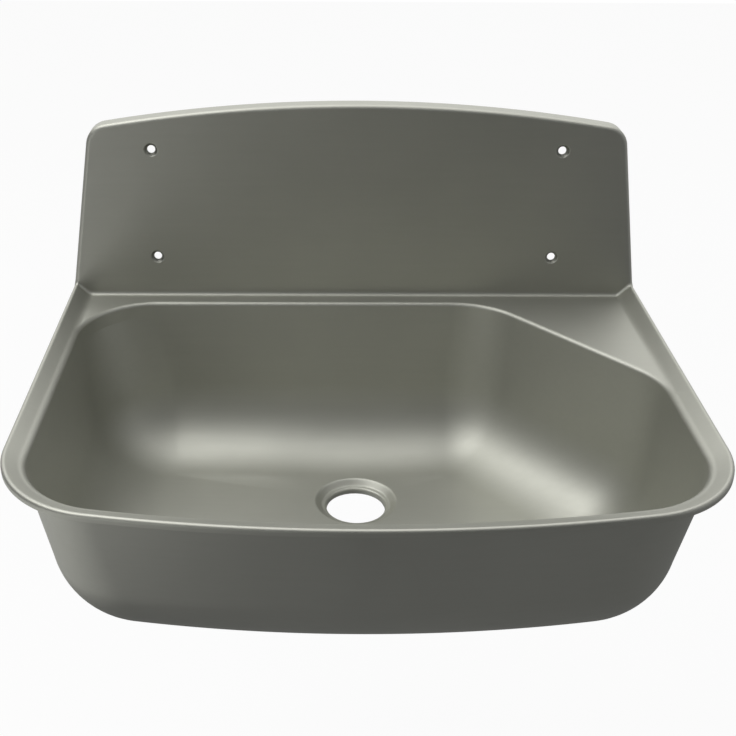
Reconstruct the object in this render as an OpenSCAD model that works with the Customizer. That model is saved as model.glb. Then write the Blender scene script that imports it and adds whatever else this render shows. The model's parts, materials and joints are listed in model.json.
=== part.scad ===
// Wall-hung mop service sink in stainless sheet: a drawn bowl with one cut-off back corner,
// a dished rim and back ledge, and a folded splashback that is screwed to the wall.
// Origin: at the middle of the four screw seats, on the floors of their dimples.
// X runs right, Y towards the wall, Z up. The modules measure Y from the wall.

/* [Basin] */
// Width over the rim
basin_w = 520; // [480:1:600]
// From the splashback's face to the front of the rim
basin_d = 383; // [360:1:440]
// Depth of the bowl at the edge of its floor, below the ledge
bowl_depth = 137.5; // [120:0.5:160]
// Fall of the floor towards the waste
floor_fall = 2; // [1:0.5:4]
// Thickness of the basin and splashback sheet
sheet = 1.2; // [0.9:0.1:1.5]
// Lean of the bowl's walls from upright, in degrees
wall_lean = 7.5; // [5:0.5:11]
// Radius between the walls and the floor
floor_r = 68; // [50:1:74]
// Radius of the bow of the front
front_arc_r = 1040; // [800:10:1600]

/* [Bowl opening] */
// Ledge between the splashback and the bowl
ledge_back = 18.5; // [17:0.5:32]
// Corner radius at the back left
back_corner_r = 64; // [56:1:74]
// Radius of the two front corners
front_corner_r = 69; // [52:1:74]
// Length of the cut-off corner along the back
cut_x = 122; // [100:1:145]
// Length of the cut-off corner along the side
cut_y = 147; // [120:1:160]
// Radius at both ends of the cut
cut_corner_r = 67; // [45:1:74]
// Radius of the edge from the ledge into the bowl
edge_r = 4; // [3:0.5:7]
// Depth of the flange that the bowl is welded to
seam = 14; // [12:1:20]

/* [Rim] */
// Width of the dished rim
rim_w = 16.5; // [14:0.5:20]
// Height of the rim's crest above the ledge, at the splashback
rim_back = 10.5; // [8:0.5:12]
// Height of the rim's crest above the ledge, at the front
rim_front = 4.5; // [4:0.5:8]
// Outer radius of the rolled lip
lip_r = 2.4; // [2:0.1:3]
// Straight drop of the lip below its roll
lip_drop = 2.5; // [1.5:0.5:5]

/* [Splashback] */
// Height of the arched head above the upper screws
head_rise = 40; // [36:1:60]
// Lean of the splashback's sides, in degrees
side_lean = 9.5; // [6:0.1:11]
// Radius of the arched head
head_arc_r = 1360; // [1100:10:2000]
// Corner radius of the head
head_corner_r = 20; // [14:1:28]
// Depth of the splashback, from the wall to its face
panel_d = 16; // [14:1:24]
// Radius of the folded edges
fold_r = 4; // [3:0.5:5]
// Radius between the splashback and the ledge
foot_r = 4; // [3:0.5:7]

/* [Wall screws] */
// Distance between the screws, side to side
screw_pitch_x = 362; // [330:1:380]
// Distance between the screws, up and down
screw_pitch_z = 100; // [90:1:140]
// Height of the lower screws above the ledge
screw_rise = 38; // [36:1:50]
// Diameter of the screw holes
screw_hole_d = 7; // [5:0.5:8]
// Diameter of the dimple round a screw hole
dimple_d = 12; // [11.5:0.5:15]
// Depth of the dimple
dimple_depth = 3; // [2:0.5:4]

/* [Waste] */
// Diameter of the waste hole
waste_d = 52; // [45:1:58]
// Diameter of the recess round the waste hole
recess_d = 72; // [70:1:84]
// Depth of the recess
recess_depth = 5; // [3:0.5:6]
// Length of the collar turned down round the waste hole
collar_len = 4; // [2:0.5:6]
// Flat floor between the bowl's back radius and the recess
waste_gap = 2.2; // [2:0.2:30]

/* [Wall support] */
// Width of a channel's welding flange
flange_h = 5; // [4:0.5:5]
// Reach of a channel beyond the screws
channel_over = 15; // [12:1:20]
// Outer diameter of a spacer ring behind a screw hole
spacer_d = 25; // [24:0.5:26]
// Bore of a spacer ring
spacer_bore = 20; // [19:0.5:21]
// Thickness of the wall angle and the heel stay
angle_t = 1.5; // [1.2:0.1:2]
// Height of the wall angle
angle_h = 30; // [24:1:31]
// Thickness of a side bracket
bracket_t = 2; // [1.5:0.1:3]
// Width of a side bracket's flanges
bracket_w = 20; // [14:1:24]
// Height of a side bracket
bracket_h = 110; // [90:1:120]
// Width of the heel stay
stay_w = 140; // [100:1:180]
// Height of the heel stay
stay_h = 26; // [22:1:28]
// Height of the heel stay's welding lips
stay_lip = 8; // [6:0.5:10]

/* [Damping pad] */
// Thickness of the damping pad
pad_t = 2.5; // [1.5:0.5:4]
// Inner edge of the pad, as a distance from the recess
pad_clear = 14; // [10:1:20]
// Outer edge of the pad, as a distance in from the floor's edge
pad_margin = 8; // [6:1:16]

/* [Earth tag] */
// Width of the earth tag
tag_w = 20; // [16:1:24]
// Height of the tag's hanging leg
tag_h = 26; // [24:1:32]
// Thickness of the tag
tag_t = 2; // [1.5:0.1:3]
// Diameter of the earth bolt
bolt_d = 6; // [5:0.5:8]
// From the side of the opening in to the middle of the tag
tag_inset = 42; // [38:1:60]
// From the splashback's face to the tag
tag_y = 46; // [40:1:60]

/* [Hidden] */

steel = [0.60, 0.60, 0.56];
dark_steel = [0.48, 0.48, 0.46];
nylon = [0.16, 0.16, 0.17];
rubber = [0.12, 0.12, 0.12];
zinc = [0.72, 0.73, 0.74];

// Points along each stretch of the bowl's outline
n_back_left = 4;
n_side = 7;
n_front_corner = 8;
n_front = 14;
n_cut_corner = 5;
n_cut = 3;
n_back = 9;
n_edge = 5;
n_lip = 4;
n_floor_arc = 7;
n_fold = 5;
n_foot = 6;
n_head_corner = 7;
n_head = 16;

open_hw = basin_w / 2 - rim_w;
rim_hw = basin_w / 2;
front_y = -basin_d + rim_w;
arc_cy = front_y + front_arc_r;
foot_len = foot_r + 1;
deck_z = -(screw_rise + screw_pitch_z / 2);
splash_h = screw_rise + screw_pitch_z + head_rise;
screw_hole_r = screw_hole_d / 2;
dimple_r = dimple_d / 2;
dimple_back = dimple_depth + 1.5;
spacer_gap = 1;
crown_h = spacer_d + 2 * (sheet + spacer_gap);
waste_r = waste_d / 2;
recess_r = recess_d / 2;
wall_t = sheet / cos(wall_lean);
dish_z = -bowl_depth - floor_fall;
recess_z = dish_z - recess_depth;

function last(v) = v[len(v) - 1];
function cross2(a, b) = a.x * b.y - a.y * b.x;
function mix(a, b, f) = a + (b - a) * f;
function arc(c, r, a0, a1, n) = [for (i = [0:n]) c + r * [cos(mix(a0, a1, i / n)), sin(mix(a0, a1, i / n))]];
function between(p, q, n) = [for (i = [1:n - 1]) mix(p, q, i / n)];
function inside(v) = [for (i = [1:len(v) - 2]) v[i]];

// The cut-off corner as a line: its outward normal's angle, and its distance from the origin
cut_a = atan2(cut_x, cut_y);
cut_dist = open_hw * cos(cut_a) + (-ledge_back - cut_y) * sin(cut_a);
function cut_end_y(d, r) = (cut_dist - d - r - cos(cut_a) * (open_hw - d - r)) / sin(cut_a);
function cut_end_x(d, r) = (cut_dist - d - r - sin(cut_a) * (-ledge_back - d - r)) / cos(cut_a);

// Rays from these two points spread the ledge's mesh over its square back corners
ray_left = [-open_hw + back_corner_r, -ledge_back - back_corner_r];
ray_right = [cut_end_x(0, cut_corner_r), cut_end_y(0, cut_corner_r)];
split_a = atan2(-foot_len - ray_left.y, -rim_hw - ray_left.x);
cut_from = [open_hw - cut_corner_r, ray_right.y] + cut_corner_r * [cos(cut_a), sin(cut_a)];
cut_to = [ray_right.x, -ledge_back - cut_corner_r] + cut_corner_r * [cos(cut_a), sin(cut_a)];
ray_corner = [rim_hw, -foot_len] - ray_right;
split_f = -cross2(cut_from - ray_right, ray_corner) / cross2(cut_to - cut_from, ray_corner);

// The bowl's outline moved inwards by d, with corner radii at the back left, front and cut
function outline(d, rb, rf, rc) =
    let (
        hw = open_hw - d,
        back = -ledge_back - d,
        bow = front_arc_r - d,
        fx = hw - rf,
        fy = arc_cy - sqrt(pow(bow - rf, 2) - fx * fx),
        fa = atan2(fy - arc_cy, fx),
        bl = [-hw + rb, back - rb],
        back_left = concat(arc(bl, rb, 90, split_a, n_back_left), inside(arc(bl, rb, split_a, 180, n_back_left)), [bl - [rb, 0]]),
        front_left = arc([-fx, fy], rf, 180, 180 - fa, n_front_corner),
        front = inside(arc([0, arc_cy], bow, 180 - fa, 360 + fa, n_front)),
        front_right = arc([fx, fy], rf, 360 + fa, 360, n_front_corner),
        cut_side = arc([hw - rc, cut_end_y(d, rc)], rc, 0, cut_a, n_cut_corner),
        cut_back = arc([cut_end_x(d, rc), back - rc], rc, cut_a, 90, n_cut_corner),
        split = mix(last(cut_side), cut_back[0], split_f)
    )
    concat(
        back_left, between(last(back_left), front_left[0], n_side),
        front_left, front, front_right,
        between(last(front_right), cut_side[0], n_side), cut_side,
        between(last(cut_side), split, n_cut), [split], between(split, cut_back[0], n_cut),
        cut_back, between(last(cut_back), back_left[0], n_back)
    );

// Which part of the ledge or rim lies outside each point of the outline
RIM = 0;
LEFT = 1;
BACK = 2;
RIGHT = 3;
zone = concat(
    [for (i = [1:2 * n_back_left]) LEFT],
    [for (i = [1:2 * n_side + 2 * n_front_corner + n_front + 1]) RIM],
    [for (i = [1:2 * n_cut + 2 * n_cut_corner]) RIGHT],
    [for (i = [1:n_back - 1]) BACK]
);
n_out = len(zone);

// Rings of points joined into a closed solid: round on itself, or with both ends capped
module loft(rings, closed) {
    n = len(rings[0]);
    m = len(rings);
    faces = [
        for (j = [0:(closed ? m - 1 : m - 2)]) for (i = [0:n - 1])
            let (a = j * n + i, b = j * n + (i + 1) % n, c = (j + 1) % m * n + i, e = (j + 1) % m * n + (i + 1) % n)
            each [[a, b, c], [b, e, c]]
    ];
    caps = closed ? [] : [[for (i = [n - 1:-1:0]) i], [for (i = [0:n - 1]) (m - 1) * n + i]];
    polyhedron(points = [for (r = rings) each r], faces = concat(faces, caps), convexity = 8);
}

module on_deck() {
    translate([0, -panel_d, deck_z])
        children();
}

// --- Bowl ---------------------------------------------------------------------------------
low_r = floor_r + 4;
tan_z = -bowl_depth + floor_r * (1 - sin(wall_lean));
tan_d = -tan_z * tan(wall_lean);
arc_d = tan_d + floor_r * cos(wall_lean);

// A ring on the wall at height z; s is the distance out from the inner surface
function wall_ring(z, s) =
    let (
        f = (-z - seam) / (-tan_z - seam),
        top_d = seam * tan(wall_lean),
        d = -z * tan(wall_lean) - s / cos(wall_lean),
        grow = s / cos(wall_lean),
        o = outline(
            d,
            mix(back_corner_r - top_d, low_r, f) + grow,
            mix(front_corner_r - top_d, low_r, f) + grow,
            mix(cut_corner_r - top_d, low_r, f) + grow
        )
    )
    [for (p = o) [p.x, p.y, z]];

// The outline of the radius at the foot of the wall, at angle a of its section
function floor_arc_line(a, s) =
    let (r = low_r - floor_r * cos(wall_lean) + (floor_r + s) * cos(a))
    outline(arc_d - (floor_r + s) * cos(a), r, r, r);

floor_edge = floor_arc_line(90, 0);
waste_c = [0, -(ledge_back + arc_d + waste_gap + recess_r)];
dish_r = recess_r + 1;
fall_reach = 60;
function toward_waste(p, r) = waste_c + r * (p - waste_c) / norm(p - waste_c);
function ease(f) = f * f * (3 - 2 * f);

// The floor falls to the waste, and so does its edge where the waste is near
function edge_fall(p) = floor_fall * ease(max(0, 1 - (norm(p - waste_c) - dish_r) / fall_reach));
function floor_z(p, f) = -bowl_depth - mix(edge_fall(p), floor_fall, f * (2 - f));
function floor_ring(f, s) = [for (p = floor_edge) let (q = mix(p, toward_waste(p, dish_r), f)) [q.x, q.y, floor_z(p, f) - s]];
function round_ring(r, z) = [for (p = floor_edge) let (q = toward_waste(p, r)) [q.x, q.y, z]];
function floor_arc_ring(a, s) =
    let (
        o = floor_arc_line(a, s),
        z = -bowl_depth + floor_r - (floor_r + s) * sin(a),
        f = ease((a - wall_lean) / (90 - wall_lean))
    )
    [for (i = [0:n_out - 1]) [o[i].x, o[i].y, z - f * edge_fall(floor_edge[i])]];

// The cone down into the recess, with a soft bend at its top and foot
bend_share = 0.25;
function dip(f) =
    f < bend_share ? f * f / (2 * bend_share * (1 - bend_share)) :
    f <= 1 - bend_share ? (f - bend_share / 2) / (1 - bend_share) :
    1 - pow(1 - f, 2) / (2 * bend_share * (1 - bend_share));
function recess_rings(s) =
    let (
        foot = waste_r + 3,
        steep = atan(recess_depth / ((dish_r - foot) * (1 - bend_share)))
    )
    concat(
        [
            for (f = [0, bend_share / 2, bend_share, 1 - bend_share, 1 - bend_share / 2, 1])
                let (a = steep * min(1, f / bend_share, (1 - f) / bend_share))
                round_ring(mix(dish_r, foot, f), dish_z - recess_depth * dip(f) - s / cos(a))
        ],
        [round_ring(waste_r - 4, recess_z - s)]
    );

module bowl() {
    inner = concat(
        [for (f = [0, 1 / 2]) wall_ring(mix(-seam, tan_z, f), 0)],
        [for (i = [0:n_floor_arc]) floor_arc_ring(mix(wall_lean, 90, i / n_floor_arc), 0)],
        [for (f = [1 / 3, 2 / 3]) floor_ring(f, 0)],
        recess_rings(0)
    );
    outer = concat(
        [for (f = [0, 1 / 2]) wall_ring(mix(-seam, tan_z, f), sheet)],
        [for (i = [0:n_floor_arc]) floor_arc_ring(mix(wall_lean, 90, i / n_floor_arc), sheet)],
        [for (f = [1 / 3, 2 / 3]) floor_ring(f, sheet)],
        recess_rings(sheet)
    );
    color(steel)
        on_deck()
            difference() {
                union() {
                    loft(concat([for (i = [len(inner) - 1:-1:0]) inner[i]], outer), true);
                    translate([waste_c.x, waste_c.y, recess_z - sheet - collar_len])
                        cylinder(r = waste_r + sheet, h = collar_len + sheet / 2, $fn = 96);
                }
                translate([waste_c.x, waste_c.y, recess_z - sheet - collar_len - 1])
                    cylinder(r = waste_r, h = collar_len + sheet + 2, $fn = 96);
            }
}

// --- Ledge and rim ------------------------------------------------------------------------
// Section of the rim: a slope from the opening up to a roll that turns down into the lip.
// Its crest has height h, which falls from the splashback to the front.
lip_e = rim_w - lip_r;
function slope_of(h) = atan2(h - lip_r, lip_e) + asin(lip_r / norm([lip_e, h - lip_r]));
function slope_end(h) = lip_e - lip_r * sin(slope_of(h));
function rise_at(e, h) =
    e <= 0 ? 0 :
    e < slope_end(h) ? e * tan(slope_of(h)) :
    h - lip_r + sqrt(max(0, lip_r * lip_r - pow(e - lip_e, 2)));
function crest(y) = mix(rim_back, rim_front, max(0, min(1, (-y - foot_len) / (basin_d - foot_len))));

edge_c = edge_r * cos(wall_lean) - tan(wall_lean) * edge_r * (1 - sin(wall_lean));
function offset_line(e) = outline(-e, back_corner_r + e, front_corner_r + e, cut_corner_r + e);
opening = offset_line(0);
edge_line = offset_line(edge_c);
rim_line = offset_line(rim_w);

function hit(c, p) =
    let (
        u = p - c,
        side = u.x == 0 ? 1e6 : (sign(u.x) * rim_hw - c.x) / u.x,
        back = u.y <= 0 ? 1e6 : (-foot_len - c.y) / u.y
    )
    c + u * min(side, back);
outer_edge = [
    for (i = [0:n_out - 1])
        zone[i] == RIM ? rim_line[i] :
        zone[i] == BACK ? [opening[i].x, -foot_len] :
        hit(zone[i] == LEFT ? ray_left : ray_right, opening[i])
];
crests = [for (q = outer_edge) crest(q.y)];
function ends_at_side(i) = abs(abs(outer_edge[i].x) - rim_hw) < 0.001;

// A ring round the edge of the bowl, drop below the ledge or rim
function edge_ring(e, drop) =
    let (o = offset_line(e))
    [for (i = [0:n_out - 1]) [o[i].x, o[i].y, rise_at(zone[i] == RIM ? e : abs(o[i].x) - open_hw, crests[i]) - drop]];

// A point further out: e and z hold on the rim, f is the share of the way across the ledge
function at_side(i, x) =
    let (p = edge_line[i], q = outer_edge[i])
    mix(p, q, (x - abs(p.x)) / (abs(q.x) - abs(p.x)));
function rim_point(i, e, z, f, under) =
    let (
        rim = zone[i] == RIM,
        side = !rim && ends_at_side(i),
        p = rim ? mix(opening[i], rim_line[i], e / rim_w) : side ? at_side(i, open_hw + e) : mix(edge_line[i], outer_edge[i], f)
    )
    [p.x, p.y, rim || side ? z : rise_at(abs(p.x) - open_hw, crests[i]) - under];

// The ring along the crease between the flat ledge and the sloping rim
function crease_ring(under) = [
    for (i = [0:n_out - 1])
        let (
            h = crests[i],
            from = zone[i] == RIM ? edge_c : abs(edge_line[i].x) - open_hw,
            e = zone[i] == RIM ? (edge_c + slope_end(h)) / 2 : max(0, (2 * from + slope_end(h)) / 3)
        )
        rim_point(i, e, rise_at(e, h) - under, 0.5, under)
];

// The ring at step k of the roll, and the ring at the end of the lip
function roll_ring(k, r, under) = [
    for (i = [0:n_out - 1])
        let (h = crests[i], a = mix(90 + slope_of(h), 0, k / n_lip))
        rim_point(i, lip_e + r * cos(a), h - lip_r + r * sin(a), mix(0.75, 0.95, k / n_lip), under)
];
function end_ring(e, under) = [for (i = [0:n_out - 1]) rim_point(i, e, crests[i] - lip_r - lip_drop, 1, under)];

module deck_rim() {
    top = concat(
        [edge_ring(-seam * tan(wall_lean), seam)],
        [for (i = [0:n_edge]) let (a = mix(wall_lean, 90, i / n_edge)) edge_ring(edge_c - edge_r * cos(a), edge_r * (1 - sin(a)))],
        [crease_ring(0)],
        [for (k = [0:n_lip]) roll_ring(k, lip_r, 0)],
        [end_ring(rim_w, 0)]
    );
    inner_r = edge_r - sheet;
    under = concat(
        [end_ring(rim_w - sheet, sheet)],
        [for (k = [n_lip:-1:0]) roll_ring(k, lip_r - sheet, sheet)],
        [crease_ring(sheet)],
        [for (i = [n_edge:-1:0]) let (a = mix(wall_lean, 90, i / n_edge)) edge_ring(edge_c - inner_r * cos(a), edge_r - inner_r * sin(a))],
        [edge_ring(-seam * tan(wall_lean) + wall_t, seam)]
    );
    color(steel)
        on_deck()
            loft(concat(top, under), true);
}

// --- Splashback ---------------------------------------------------------------------------
// Outline of the splashback, moved inwards by d: X and Z points from the bottom left, clockwise
side_n = [cos(side_lean), sin(side_lean)];
side_up = [-sin(side_lean), cos(side_lean)];
head_c = [0, splash_h - head_arc_r];
function splash_outline(d, bottom) =
    let (
        reach = side_n * [rim_hw, rim_back] - d,
        r = head_corner_r - d,
        q = side_n * (reach - r) - head_c,
        t = -q * side_up + sqrt(pow(q * side_up, 2) - q * q + pow(head_arc_r - d - r, 2)),
        c = side_n * (reach - r) + side_up * t,
        a = atan2(c.y - head_c.y, c.x - head_c.x),
        right = arc(c, r, side_lean, a, n_head_corner),
        head = inside(arc(head_c, head_arc_r - d, a, 180 - a, n_head)),
        left = [for (i = [n_head_corner:-1:0]) [-right[i].x, right[i].y]],
        foot_x = (reach - side_n.y * bottom) / side_n.x
    )
    concat([[foot_x, bottom]], right, head, left, [[-foot_x, bottom]]);
function splash_ring(d, y, bottom) = [for (p = splash_outline(d, bottom)) [p.x, y, p.y]];

// The splashback's outer or inner skin as a solid, its front edges rounded
module splash_block(d, y, back, bottom) {
    r = fold_r - d;
    rings = concat(
        [for (i = [0:n_fold]) let (a = 90 * i / n_fold) splash_ring(fold_r - r * sin(a), fold_r - r * cos(a), bottom)],
        [splash_ring(d, back, bottom)]
    );
    loft(rings, false);
}

// Section of the foot, from the face down round the radius and forward to the ledge
function foot_section(h, top) = concat(
    [[0, top]],
    [for (i = [0:n_foot]) let (a = -90 * i / n_foot) [-foot_r, foot_r + h] + foot_r * [cos(a), sin(a)]],
    [[-foot_len, h], [-foot_len, h - sheet]],
    [for (i = [n_foot:-1:0]) let (a = -90 * i / n_foot) [-foot_r, foot_r + h] + (foot_r + sheet) * [cos(a), sin(a)]],
    [[sheet, top]]
);
foot_top = foot_r + rim_back + 4;

module splash_foot() {
    right = [rim_hw - lip_r / 2, lip_e + open_hw, slope_end(rim_back) + open_hw, open_hw];
    x = concat(right, [for (i = [len(right) - 1:-1:0]) -right[i]]);
    rings = [
        for (v = x)
            let (s = foot_section(rise_at(abs(v) - open_hw, rim_back), foot_top))
            [for (p = s) [v - sign(v) * max(0, p.y - rim_back) * tan(side_lean), p.x, p.y]]
    ];
    loft(rings, false);
}

module each_screw() {
    for (sx = [-1, 1], sz = [-1, 1])
        translate([sx * screw_pitch_x / 2, 0, sz * screw_pitch_z / 2])
            rotate([-90, 0, 0])
                children();
}

// A dimple pressed into the sheet, with a short straight lip round the hole
module dimple() {
    slant = sheet * 0.75;
    rotate_extrude($fn = 64)
        polygon([
            [dimple_r + 2 * sheet, 0], [dimple_r, 0], [screw_hole_r, dimple_depth], [screw_hole_r, dimple_back],
            [screw_hole_r + sheet, dimple_back], [dimple_r + slant, sheet], [dimple_r + 2 * sheet, sheet]
        ]);
}

module splashback() {
    color(steel)
        union() {
            difference() {
                on_deck()
                    union() {
                        difference() {
                            splash_block(0, 0, panel_d, rim_back);
                            splash_block(sheet, sheet, panel_d + 1, rim_back - 1);
                            translate([-rim_hw + 2 * fold_r, -1, 0])
                                cube([2 * rim_hw - 4 * fold_r, 1 + fold_r, foot_top - 1]);
                        }
                        splash_foot();
                    }
                translate([0, -panel_d - 1, 0])
                    each_screw()
                        cylinder(r = dimple_r + sheet, h = sheet + 2, $fn = 64);
            }
            translate([0, -panel_d, 0])
                each_screw()
                    dimple();
        }
}

// --- Behind the splashback ----------------------------------------------------------------
// A hat-shaped channel: flanges on the back of the splashback, crown on the wall
module channel() {
    len_x = screw_pitch_x + 2 * channel_over;
    h = crown_h / 2;
    back = -panel_d + sheet;
    difference() {
        translate([-len_x / 2, 0, 0])
            rotate([90, 0, 90])
                linear_extrude(height = len_x)
                    polygon([
                        [back, -h - flange_h], [back, -h + sheet], [-sheet, -h + sheet], [-sheet, h - sheet],
                        [back, h - sheet], [back, h + flange_h], [back + sheet, h + flange_h], [back + sheet, h],
                        [0, h], [0, -h], [back + sheet, -h], [back + sheet, -h - flange_h]
                    ]);
        for (s = [-1, 1])
            translate([s * screw_pitch_x / 2, -sheet - 1, 0])
                rotate([-90, 0, 0])
                    cylinder(d = spacer_bore, h = sheet + 2, $fn = 64);
    }
}

module head_channel() {
    color(dark_steel)
        translate([0, 0, screw_pitch_z / 2])
            channel();
}

module foot_channel() {
    color(dark_steel)
        translate([0, 0, -screw_pitch_z / 2])
            channel();
}

// A ring round the back of a dimple, between the splashback and the crown of its channel
module spacer(sx, sz) {
    len_y = panel_d - 2 * sheet;
    color(nylon)
        translate([sx * screw_pitch_x / 2, -sheet, sz * screw_pitch_z / 2])
            rotate([90, 0, 0])
                difference() {
                    cylinder(d = spacer_d, h = len_y, $fn = 64);
                    translate([0, 0, -1])
                        cylinder(d = spacer_bore, h = len_y + 2, $fn = 64);
                }
}

module spacer_1() { spacer(-1, 1); }
module spacer_2() { spacer(1, 1); }
module spacer_3() { spacer(-1, -1); }
module spacer_4() { spacer(1, -1); }

// --- Below the ledge ----------------------------------------------------------------------
under_z = deck_z - sheet;
bracket_x = open_hw - bracket_w / 2 - 1;
angle_reach = panel_d + ledge_back - edge_r - 1;
flange_reach = panel_d + ledge_back + 2;
bracket_reach = panel_d + ledge_back + 9;

// An angle on the wall that carries the back edge of the ledge
module wall_angle() {
    len_x = 2 * (bracket_x - bracket_w / 2) - 4;
    color(dark_steel)
        translate([-len_x / 2, 0, under_z])
            rotate([90, 0, 90])
                linear_extrude(height = len_x)
                    polygon([
                        [0, 0], [0, -angle_h], [-angle_t, -angle_h], [-angle_t, -angle_t],
                        [-angle_reach, -angle_t], [-angle_reach, 0]
                    ]);
}

// A folded bracket: web, wall flange and a top flange under the ledge
module side_bracket() {
    color(dark_steel)
        translate([bracket_x, 0, under_z])
            union() {
                translate([-bracket_t / 2, 0, 0])
                    rotate([90, 0, 90])
                        linear_extrude(height = bracket_t)
                            polygon([
                                [0, 0], [0, -bracket_h], [-bracket_t * 3, -bracket_h],
                                [-bracket_reach, -bracket_t * 4], [-bracket_reach, 0]
                            ]);
                translate([-bracket_w / 2, -bracket_t, -bracket_h])
                    cube([bracket_w, bracket_t, bracket_h]);
                translate([-bracket_w / 2, -flange_reach, -bracket_t])
                    cube([bracket_w, flange_reach, bracket_t]);
            }
}

module side_bracket_left() {
    mirror([1, 0, 0])
        side_bracket();
}

module side_bracket_right() {
    side_bracket();
}

// A channel from the wall to the back of the bowl, its front lips along the leaning wall
module heel_stay() {
    low_z = tan_z + 2;
    top_z = low_z + stay_h;
    bowl_y = function (z) -panel_d - ledge_back + z * tan(wall_lean) + wall_t;
    color(dark_steel)
        translate([-stay_w / 2, 0, deck_z])
            rotate([90, 0, 90])
                linear_extrude(height = stay_w)
                    polygon([
                        [0, top_z], [0, low_z],
                        [bowl_y(low_z), low_z], [bowl_y(low_z + stay_lip), low_z + stay_lip],
                        [bowl_y(low_z + stay_lip) + angle_t, low_z + stay_lip],
                        [bowl_y(low_z + angle_t) + angle_t, low_z + angle_t],
                        [-angle_t, low_z + angle_t], [-angle_t, top_z - angle_t],
                        [bowl_y(top_z - angle_t) + angle_t, top_z - angle_t],
                        [bowl_y(top_z - stay_lip) + angle_t, top_z - stay_lip],
                        [bowl_y(top_z - stay_lip), top_z - stay_lip], [bowl_y(top_z), top_z]
                    ]);
}

// A pad stuck under the floor, round the waste and open at the back
glue = 0.1;
function floor_under(p, f) = lookup(f, [for (k = [0:3]) [k / 3, floor_z(p, k / 3)]]) - sheet - glue;

module damping_pad() {
    strip = [
        for (i = [0:n_out - n_back])
            let (
                p = floor_edge[i],
                q = toward_waste(p, dish_r),
                line = [pad_margin / norm(p - q), 1 / 3, 2 / 3, 1 - (pad_clear + recess_r - dish_r) / norm(p - q)]
            )
            concat(
                [for (f = line) let (v = mix(p, q, f)) [v.x, v.y, floor_under(p, f)]],
                [for (k = [3:-1:0]) let (v = mix(p, q, line[k])) [v.x, v.y, floor_under(p, line[k]) - pad_t]]
            )
    ];
    color(rubber)
        on_deck()
            loft(strip, false);
}

// --- Earth tag ----------------------------------------------------------------------------
bolt_r = bolt_d / 2;
bolt_head_h = bolt_d * 0.66;
nut_h = bolt_d * 0.8;
hex_r = bolt_d * 0.96;
washer_t = 1.2;
washer_r = bolt_d;
bolt_z = -tag_h + tag_w / 2;

module at_tag() {
    translate([open_hw - tag_inset, -panel_d - tag_y, under_z])
        children();
}

// Turned along Y at the tag's bolt hole, y from the tag's back face
module on_bolt(y) {
    at_tag()
        translate([0, y, bolt_z])
            rotate([-90, 0, 0])
                children();
}

module earth_tag() {
    color(steel)
        difference() {
            at_tag()
                union() {
                    translate([-tag_w / 2, -tag_t, -tag_h])
                        cube([tag_w, tag_t, tag_h]);
                    translate([-tag_w / 2, -tag_t, -tag_t])
                        cube([tag_w, tag_w, tag_t]);
                }
            on_bolt(-tag_t - 1)
                cylinder(r = bolt_r + 0.2, h = tag_t + 2, $fn = 48);
        }
}

module washer() {
    difference() {
        cylinder(r = washer_r, h = washer_t, $fn = 48);
        translate([0, 0, -1])
            cylinder(r = bolt_r + 0.2, h = washer_t + 2, $fn = 48);
    }
}

module earth_washer_front() {
    color(zinc)
        on_bolt(-tag_t - washer_t)
            washer();
}

module earth_washer_back() {
    color(zinc)
        on_bolt(0)
            washer();
}

module earth_bolt() {
    grip = tag_t + 2 * washer_t + nut_h + 3;
    color(zinc)
        on_bolt(-tag_t - washer_t - bolt_head_h)
            union() {
                cylinder(r = hex_r, h = bolt_head_h, $fn = 6);
                cylinder(r = bolt_r, h = bolt_head_h + grip, $fn = 48);
            }
}

module earth_nut() {
    color(zinc)
        on_bolt(washer_t)
            difference() {
                cylinder(r = hex_r, h = nut_h, $fn = 6);
                translate([0, 0, -1])
                    cylinder(r = bolt_r + 0.05, h = nut_h + 2, $fn = 48);
            }
}

// Moved from the wall to the screw seats
translate([0, panel_d - dimple_depth, 0]) {
    bowl();
    deck_rim();
    splashback();
    head_channel();
    foot_channel();
    spacer_1();
    spacer_2();
    spacer_3();
    spacer_4();
    wall_angle();
    side_bracket_left();
    side_bracket_right();
    heel_stay();
    damping_pad();
    earth_tag();
    earth_bolt();
    earth_washer_front();
    earth_washer_back();
    earth_nut();
}
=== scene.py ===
"""Mop service sink: a drawn bowl in a dished rim, a folded splashback, wall supports, finishes and studio."""

import json
import math

import bmesh
import bpy
from bpy.props import FloatProperty, FloatVectorProperty, PointerProperty
from mathutils import Matrix, Vector

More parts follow.
